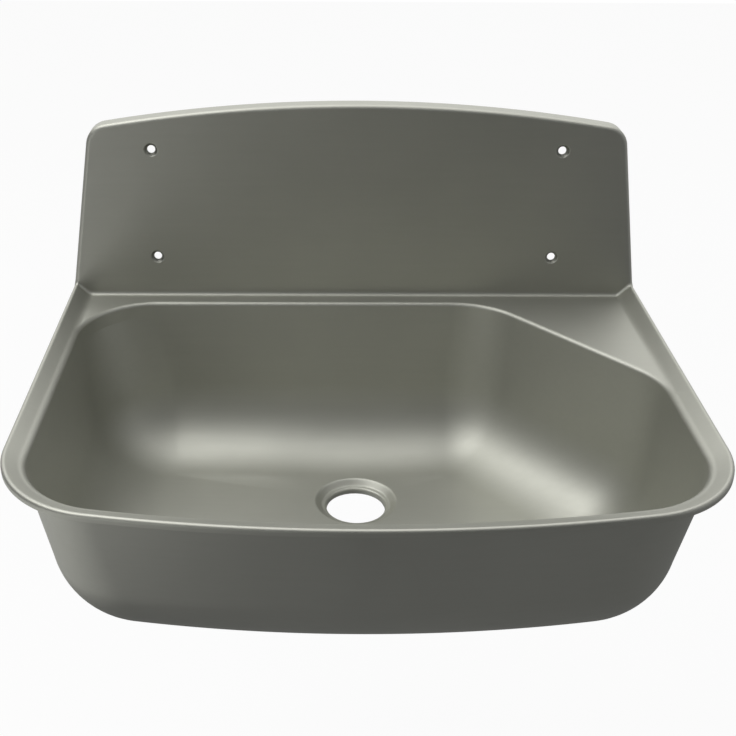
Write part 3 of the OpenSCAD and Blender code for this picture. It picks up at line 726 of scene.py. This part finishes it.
def node_maker(tree):
    """A function that adds a node with the given settings to the tree."""

    def node(kind, **settings):
        made = tree.nodes.new(kind)
        for key, value in settings.items():
            setattr(made, key, value)
        return made

    return node


def link(start, output, end, entry):
    """Joins an output of one node to an input of another."""
    start.id_data.links.new(start.outputs[output], end.inputs[entry])


def new_material(name):
    """A material, its Principled shader and a function that adds nodes to it."""
    material = bpy.data.materials.new(name)
    material.use_nodes = True
    return material, material.node_tree.nodes["Principled BSDF"], node_maker(material.node_tree)


def surface(material, start, output):
    """Makes an output of a node the material's surface."""
    link(start, output, material.node_tree.nodes["Material Output"], "Surface")


def noise(node, source, scale, detail=2.0, stretch=(1.0, 1.0, 1.0), roughness=0.5):
    """A noise pattern on Object coordinates, stretched where it runs along one way."""
    mapping = node("ShaderNodeMapping")
    mapping.inputs["Scale"].default_value = stretch
    link(source, "Object", mapping, "Vector")
    pattern = node("ShaderNodeTexNoise")
    pattern.inputs["Scale"].default_value = scale
    pattern.inputs["Detail"].default_value = detail
    pattern.inputs["Roughness"].default_value = roughness
    link(mapping, "Vector", pattern, "Vector")
    return pattern


def spread_values(node, pattern, low, high):
    """Maps a pattern onto a range of numbers."""
    ranged = node("ShaderNodeMapRange")
    ranged.inputs["From Min"].default_value = NOISE_LOW
    ranged.inputs["From Max"].default_value = NOISE_HIGH
    ranged.inputs["To Min"].default_value = low
    ranged.inputs["To Max"].default_value = high
    link(pattern, "Fac", ranged, "Value")
    return ranged


def tint(node, pattern, shader, base, dark, light):
    """Colours the shader with a darker and a lighter shade of base, laid out by a pattern."""
    ramp = node("ShaderNodeValToRGB")
    ends = ((NOISE_LOW, shade(base, dark)), (NOISE_HIGH, shade(base, light)))
    for element, (position, colour_there) in zip(ramp.color_ramp.elements, ends):
        element.position = position
        element.color = (*colour_there, 1.0)
    link(pattern, "Fac", ramp, "Fac")
    link(ramp, "Color", shader, "Base Color")


def shade(base, factor):
    """The colour base, lighter or darker."""
    return tuple(min(1.0, c * factor) for c in base)


def emboss(node, pattern, shader, strength, height):
    """Raises the surface by a pattern, up to a height in metres."""
    lift = node("ShaderNodeBump")
    lift.inputs["Strength"].default_value = strength
    lift.inputs["Distance"].default_value = height
    link(pattern, "Fac", lift, "Height")
    link(lift, "Normal", shader, "Normal")


def steel_finish(name, base, rough, grain, streak, cloud, bump):
    """Metal: soft clouds in its colour, a fine grain, and faint streaks along the rolling direction."""
    material, shader, node = new_material(name)
    shader.inputs["Metallic"].default_value = 1.0
    source = node("ShaderNodeTexCoord")
    clouds = noise(node, source, 9.0, 3.0)
    tint(node, clouds, shader, base, 1.0 - cloud, 1.0 + cloud)
    streaks = noise(node, source, 60.0, 4.0, streak, 0.6)
    fine = noise(node, source, grain, 2.0)
    streaky = spread_values(node, streaks, rough - 0.02, rough + 0.02)
    grainy = spread_values(node, fine, -0.02, 0.02)
    add = node("ShaderNodeMath", operation="ADD")
    link(streaky, "Result", add, 0)
    link(grainy, "Result", add, 1)
    link(add, "Value", shader, "Roughness")
    emboss(node, fine, shader, bump, 0.0002)
    return material


def moulded_finish(name, base, rough, grain, bump):
    """Moulded or rolled plastic and rubber: a mottled colour with a fine pebbled surface."""
    material, shader, node = new_material(name)
    source = node("ShaderNodeTexCoord")
    mottle = noise(node, source, grain / 6.0, 3.0)
    tint(node, mottle, shader, base, 0.8, 1.25)
    fine = noise(node, source, grain, 3.0)
    pebbled = spread_values(node, fine, rough - 0.06, rough + 0.06)
    link(pebbled, "Result", shader, "Roughness")
    emboss(node, fine, shader, bump, 0.0003)
    return material


# The metals' roughness, grain, streaks, clouds and bump, and the plastics' roughness, grain and bump
METALS = {
    "satin_steel": (0.56, 2600.0, (0.25, 4.0, 4.0), 0.03, 0.04),
    "mill_steel": (0.34, 1800.0, (0.1, 12.0, 12.0), 0.06, 0.08),
    "zinc": (0.30, 900.0, (1.0, 1.0, 1.0), 0.10, 0.10),
}
PLASTICS = {"nylon": (0.55, 700.0, 0.10), "damping": (0.72, 420.0, 0.45)}


def finish(name):
    """The named finish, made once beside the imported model's plain material of that name."""
    label = name + "_finish"
    if label in bpy.data.materials:
        return bpy.data.materials[label]
    base = getattr(bpy.context.scene.sink_colours, name)
    if name in METALS:
        return steel_finish(label, base, *METALS[name])
    return moulded_finish(label, base, *PLASTICS[name])


def seen_rays(node):
    """A node whose value is 1 for camera, glossy and transmission rays."""
    path = node("ShaderNodeLightPath")
    seen, output = path, "Is Camera Ray"
    for kind in ("Is Glossy Ray", "Is Transmission Ray"):
        either = node("ShaderNodeMath", operation="MAXIMUM")
        link(seen, output, either, 0)
        link(path, kind, either, 1)
        seen, output = either, "Value"
    return seen


# --- Operators ---

WHITE = (1.0, 1.0, 1.0, 1.0)
CARD_TINT = (1.0, 1.01, 1.03)

# Cards round the sink that only its reflections see: name, level, and reach along each axis
CARDS = (
    ("floor_card", 0.19, (-0.6, 1.8), (-1.6, 1.4), (-0.59,)),
    ("front_card", 0.10, (-0.6, 1.8), (-1.6,), (-0.59, 1.8)),
    ("front_card_left", 0.11, (-1.8, -0.6), (-1.6,), (0.5, 1.8)),
    ("overhead_card", 0.04, (-0.6, 1.8), (-1.6, -0.6), (1.8,)),
    ("left_card", 0.20, (-1.8,), (-1.6, 1.4), (-0.59, 1.8)),
    ("right_card", 0.42, (1.8,), (-1.6, 1.4), (-0.59, 1.8)),
)

# Softboxes that hang level and shine down: name, place, size and power
SOFTBOXES = (
    ("left_softbox", (-1.2, -0.1, 1.8), (1.2, 1.0), 19.0),
    ("overhead_softbox", (0.6, -0.1, 1.8), (2.4, 1.0), 3.2),
    ("back_softbox", (0.6, 0.9, 1.8), (2.4, 1.0), 6.4),
)

FLOOR_SIZE = 9.0
FLOOR_HEIGHT = -0.60
FLOOR_GLOW = 0.93  # share of plain white in the floor as it is seen; the rest keeps the shadow
WORLD_STRENGTH = 0.5  # as light on dull surfaces; seen directly or in metal, the world is white

# The photograph's own viewpoint, solved from the splashback, the rim and the waste hole
CAMERA_PLACE = (-0.0405, -0.98368, 0.34486)
CAMERA_YAW, CAMERA_PITCH, CAMERA_ROLL = (math.radians(a) for a in (0.49, 28.36, -0.34))
CAMERA_LENS = 55.905
CAMERA_SHIFT = (0.0663, 0.0242)


class SINK_OT_stage(bpy.types.Operator):
    """Adds the pale floor, the softboxes, the cards and the camera"""

    bl_idname = "sink.stage"
    bl_label = "Stage"

    def execute(self, context):
        scene = context.scene
        scene.view_settings.view_transform = "Standard"
        self.add_world(scene)
        self.add_floor(scene)
        for card in CARDS:
            self.add_card(*card)
        for softbox in SOFTBOXES:
            self.add_softbox(*softbox)
        self.add_camera(scene)
        return {"FINISHED"}

    def add_world(self, scene):
        world = bpy.data.worlds.new("studio")
        world.use_nodes = True
        scene.world = world
        made = world.node_tree.nodes
        node = node_maker(world.node_tree)
        white = made["Background"]
        white.inputs["Color"].default_value = WHITE
        dim = node("ShaderNodeBackground")
        dim.inputs["Color"].default_value = WHITE
        dim.inputs["Strength"].default_value = WORLD_STRENGTH
        blend = node("ShaderNodeMixShader")
        link(seen_rays(node), "Value", blend, 0)
        link(dim, "Background", blend, 1)
        link(white, "Background", blend, 2)
        link(blend, "Shader", made["World Output"], "Surface")

    def add_floor(self, scene):
        deselect_all()
        bpy.ops.mesh.primitive_plane_add(size=FLOOR_SIZE, location=(0.0, 0.0, FLOOR_HEIGHT))
        floor = bpy.context.object
        floor.name = "studio_floor"
        material, shader, node = new_material("studio_floor")
        paper = noise(node, node("ShaderNodeTexCoord"), 4.0, 2.0)
        tint(node, paper, shader, scene.sink_colours.floor, 0.985, 1.015)
        shader.inputs["Roughness"].default_value = 0.9
        glow = node("ShaderNodeEmission")
        glow.inputs["Color"].default_value = WHITE
        share = node("ShaderNodeMath", operation="MULTIPLY")
        share.inputs[1].default_value = FLOOR_GLOW
        link(seen_rays(node), "Value", share, 0)
        blend = node("ShaderNodeMixShader")
        link(share, "Value", blend, 0)
        link(shader, "BSDF", blend, 1)
        link(glow, "Emission", blend, 2)
        surface(material, blend, "Shader")
        floor.data.materials.append(material)

    def add_card(self, name, level, xs, ys, zs):
        """A card that only reflections see, as a photographer stands one beside bright metal."""
        deselect_all()
        bpy.ops.mesh.primitive_plane_add(size=1.0, location=(0.0, 0.0, 0.0))
        card = bpy.context.object
        card.name = name
        corners = [(x, y, z) for z in zs for y in ys for x in xs]
        for vertex, corner in zip(card.data.vertices, corners):
            vertex.co = corner
        card.visible_camera = False
        card.visible_diffuse = False
        card.visible_transmission = False
        # The card on the floor would darken it; the others also keep the world's light from the metal
        card.visible_shadow = name != "floor_card"
        material, _, node = new_material(name)
        glow = node("ShaderNodeEmission")
        glow.inputs["Color"].default_value = (*(level * share for share in CARD_TINT), 1.0)
        surface(material, glow, "Emission")
        card.data.materials.append(material)

    def add_softbox(self, name, location, size, power):
        deselect_all()
        bpy.ops.object.light_add(type="AREA", location=location)
        softbox = bpy.context.object
        softbox.name = name
        softbox.data.shape = "RECTANGLE"
        softbox.data.size, softbox.data.size_y = size
        softbox.data.energy = power
        softbox.visible_camera = False

    def add_camera(self, scene):
        level_share = math.cos(CAMERA_PITCH)
        forward = Vector((
            math.sin(CAMERA_YAW) * level_share,
            math.cos(CAMERA_YAW) * level_share,
            -math.sin(CAMERA_PITCH),
        ))
        level = Vector((math.cos(CAMERA_YAW), -math.sin(CAMERA_YAW), 0.0))
        down = forward.cross(level)
        right = math.cos(CAMERA_ROLL) * level + math.sin(CAMERA_ROLL) * down
        below = math.cos(CAMERA_ROLL) * down - math.sin(CAMERA_ROLL) * level
        deselect_all()
        bpy.ops.object.camera_add(location=CAMERA_PLACE)
        camera = bpy.context.object
        camera.name = "photo_camera"
        camera.rotation_euler = Matrix((right, -below, -forward)).transposed().to_euler()
        camera.data.sensor_width = 36.0
        camera.data.lens = CAMERA_LENS
        camera.data.shift_x, camera.data.shift_y = CAMERA_SHIFT
        camera.data.clip_start = 0.01
        scene.camera = camera


class SINK_OT_bowl(bpy.types.Operator):
    """Draws the bowl down from its welded seam to the collar of the waste hole"""

    bl_idname = "sink.bowl"
    bl_label = "Bowl"

    def execute(self, context):
        form = SinkForm(context.scene.sink_sizes)
        bowl = loft("drawn_bowl", placed(form, form.bowl_rings()))
        face_towards(bowl, place(form, (0.0, -200.0, -60.0)))
        finish_skin(bowl, form.sheet)
        hand_over(bowl, finish("satin_steel"), "bowl")
        return {"FINISHED"}


class SINK_OT_rim(bpy.types.Operator):
    """Forms the ledge, the rounded edge into the bowl and the dished rim with its rolled lip"""

    bl_idname = "sink.rim"
    bl_label = "Ledge and Rim"

    def execute(self, context):
        form = SinkForm(context.scene.sink_sizes)
        rim = loft("ledge_and_rim", placed(form, form.deck_rings()))
        face_towards(rim, place(form, (0.0, -12.0, 10.0)))
        finish_skin(rim, form.sheet)
        hand_over(rim, finish("satin_steel"), "deck_rim")
        return {"FINISHED"}


class SINK_OT_splashback(bpy.types.Operator):
    """Folds the splashback: its arched head, its returns to the wall, its foot and the four screw dimples"""

    bl_idname = "sink.splashback"
    bl_label = "Splashback"

    def execute(self, context):
        form = SinkForm(context.scene.sink_sizes)
        top = form.foot_radius + form.rim_back + FOLD_START
        panel = self.foot(form, top)
        parts = [self.folds(form, top)] + self.dimples(form)
        choose(panel)
        for part in parts:
            part.select_set(True)
        bpy.ops.object.join()
        panel.name = panel.data.name = "splashback_panel"
        self.fill_face(panel, place(form, (0.0, 0.0, 0.0)).y)
        face_towards(panel, place(form, (0.0, -300.0, 90.0)))
        finish_skin(panel, form.sheet)
        hand_over(panel, finish("satin_steel"), "splashback")
        return {"FINISHED"}

    def fill_face(self, panel, face_y):
        """Merges the foot, the folds and the dimples where they meet, and fills the flat face between."""
        bpy.ops.object.mode_set(mode="EDIT")
        bpy.ops.mesh.select_all(action="SELECT")
        bpy.ops.mesh.remove_doubles(threshold=PART_MERGE)
        mesh = bmesh.from_edit_mesh(panel.data)
        for part in list(mesh.verts) + list(mesh.edges) + list(mesh.faces):
            part.select = False
        for edge in mesh.edges:
            if edge.is_boundary and all(abs(v.co.y - face_y) < ON_FACE for v in edge.verts):
                edge.select = True
        bmesh.update_edit_mesh(panel.data)
        bpy.ops.mesh.select_mode(type="EDGE")
        bpy.ops.mesh.fill(use_beauty=True)
        bpy.ops.object.mode_set(mode="OBJECT")

    def depth(self, form, x, share):
        """How deep the foot's section lies at x, from the folded side on the face to the lip's roll."""
        r, side = form.fold_radius, form.rim_half - abs(x)
        fold = r - math.sqrt(max(0.0, r**2 - (r - side) ** 2)) if side < r else 0.0
        e = abs(x) - form.open_half
        roll = form.rim_back - form.rise(e, form.rim_back) if e > form.lip_e else 0.0
        return fold + (roll - fold) * share

    def foot_row(self, form, columns, share):
        """One row of the foot with two points of the return at each end."""
        far = form.panel_depth - form.fold_radius
        more = far + (form.lip_drop - far) * share
        line = [form.foot_point(x, share, self.depth(form, x, share)) for x in columns]
        ends = [
            [form.foot_point(x, share, self.depth(form, x, share) + more * f) for f in (1.0, 0.5)]
            for x in (columns[0], columns[-1])
        ]
        return [place(form, p) for p in ends[0] + line + ends[1][::-1]]

    def foot(self, form, top):
        """The bend between the face and the ledge, with the returned edge at both ends."""
        columns = form.foot_columns()
        # The first row runs along the ledge's edge, in front of the bend
        first = self.foot_row(form, columns, 1.0)
        edge_y = place(form, (0.0, form.foot_y, 0.0)).y
        for point in first:
            point.y = edge_y
        rows = [first] + [self.foot_row(form, columns, f) for f in spread(1.0, 0.0, FOOT_STEPS)]
        # The last row lies on the face at the height at which the folded sides start
        highest = []
        for x in columns:
            inset = form.rim_half - abs(x)
            if inset < form.fold_radius + NEAR:
                across = form.head_line(inset, top)[0][0]
            else:
                across = abs(x) - form.lean_in(x, top)
            highest.append(place(form, (math.copysign(across, x), self.depth(form, x, 0.0), top)))
        right, left = [], []
        for share in (1.0, 0.5):
            y = place(form, (0.0, form.fold_radius + (form.panel_depth - form.fold_radius) * share, 0.0)).y
            right.append(Vector((highest[0].x, y, highest[0].z)))
            left.insert(0, Vector((highest[-1].x, y, highest[-1].z)))
        rows.append(right + highest + left)
        return loft("splashback_foot", rows, closed=False)

    def folds(self, form, top):
        """The rounded edge over the sides and head, and the return to the wall."""
        rings = []
        for a in [math.radians(a) for a in spread(0.0, 90.0, FOLD_STEPS)]:
            line = form.head_line(form.fold_radius * (1.0 - math.sin(a)), top)
            rings.append([(x, form.fold_radius * (1.0 - math.cos(a)), z) for x, z in line])
        for share in (0.5, 1.0):
            y = form.fold_radius + (form.panel_depth - form.fold_radius) * share
            rings.append([(x, y, z) for x, z in form.head_line(0.0, top)])
        return loft("splashback_folds", placed(form, rings), closed=False)

    def dimples(self, form):
        """Four pressed dimples, each revolved about its screw and running down to the hole's edge."""
        hole, wide, deep = form.screw_hole / 2.0, form.dimple / 2.0, form.dimple_depth
        # Radius and depth of the section, from the flat face over the slope to below the hole's edge
        section = [(wide + 0.6, 0.0), (wide + 0.2, 0.06), (wide - 0.15, 0.25), (wide - 0.45, 0.65)]
        section += [(wide - 1.0, 1.6), (hole + 0.9, deep - 0.45), (hole + 0.4, deep - 0.1)]
        section += [(hole, deep + 0.2), (hole, deep + 0.7)]
        pieces = []
        for x in (-form.screw_spacing / 2.0, form.screw_spacing / 2.0):
            for z in (form.screw_rise, form.screw_rise + form.screw_pitch):
                rings = [
                    [(px, y, pz) for px, pz in arc((x, z), r, spread(0.0, 360.0, DIMPLE_STEPS)[:-1])]
                    for r, y in section
                ]
                pieces.append(loft("screw_dimple", placed(form, rings)))
        return pieces


class SINK_OT_supports(bpy.types.Operator):
    """Makes the channels, the wall angle, the side brackets and the heel stay from folded sheet"""

    bl_idname = "sink.supports"
    bl_label = "Wall Supports"

    def execute(self, context):
        brackets = ["side_bracket_left", "side_bracket_right"]
        for node in ["head_channel", "foot_channel", "wall_angle"] + brackets + ["heel_stay"]:
            soften_node(node, node + "_folded", 0.0004, 2, "mill_steel")
        return {"FINISHED"}


class SINK_OT_fixings(bpy.types.Operator):
    """Makes the spacer rings and the earth tag with its bolt, washers and nut"""

    bl_idname = "sink.fixings"
    bl_label = "Fixings"

    def execute(self, context):
        for i in range(1, 5):
            soften_node(f"spacer_{i}", f"spacer_{i}_ring", 0.0005, 3, "nylon")
        soften_node("earth_tag", "earth_tag_plate", 0.0004, 2, "satin_steel")
        for node in ("earth_bolt", "earth_washer_front", "earth_washer_back", "earth_nut"):
            soften_node(node, node + "_plated", 0.00025, 2, "zinc")
        return {"FINISHED"}


class SINK_OT_pad(bpy.types.Operator):
    """Lays the damping pad under the floor, round the waste and open at the back"""

    bl_idname = "sink.pad"
    bl_label = "Damping Pad"

    def execute(self, context):
        soften_node("damping_pad", "damping_mat", 0.0006, 3, "damping")
        return {"FINISHED"}


class SINK_PT_panel(bpy.types.Panel):
    """Lists the sink's pieces, sizes and colours"""

    bl_idname = "SINK_PT_panel"
    bl_label = "Mop Service Sink"
    bl_space_type = "VIEW_3D"
    bl_region_type = "UI"
    bl_category = "Sink"

    def draw(self, context):
        layout = self.layout
        for operator in OPERATORS:
            layout.operator(operator.bl_idname)
        for group in (context.scene.sink_sizes, context.scene.sink_colours):
            column = layout.column(align=True)
            for name in type(group).__annotations__:
                column.prop(group, name)


OPERATORS = (
    SINK_OT_stage,
    SINK_OT_bowl,
    SINK_OT_rim,
    SINK_OT_splashback,
    SINK_OT_supports,
    SINK_OT_fixings,
    SINK_OT_pad,
)
CLASSES = (SinkSizes, SinkColours) + OPERATORS + (SINK_PT_panel,)


def register():
    """Registers the classes and puts the sizes and colours on the scene."""
    for cls in CLASSES:
        bpy.utils.register_class(cls)
    bpy.types.Scene.sink_sizes = PointerProperty(type=SinkSizes)
    bpy.types.Scene.sink_colours = PointerProperty(type=SinkColours)


def unregister():
    """Takes the classes and the scene's properties away."""
    del bpy.types.Scene.sink_colours
    del bpy.types.Scene.sink_sizes
    for cls in reversed(CLASSES):
        bpy.utils.unregister_class(cls)


def main():
    """Builds the whole scene in order."""
    register()
    bpy.ops.sink.stage()
    bpy.ops.sink.bowl()
    bpy.ops.sink.rim()
    bpy.ops.sink.splashback()
    bpy.ops.sink.supports()
    bpy.ops.sink.fixings()
    bpy.ops.sink.pad()
    bpy.context.view_layer.update()


if __name__ == "__main__":
    main()
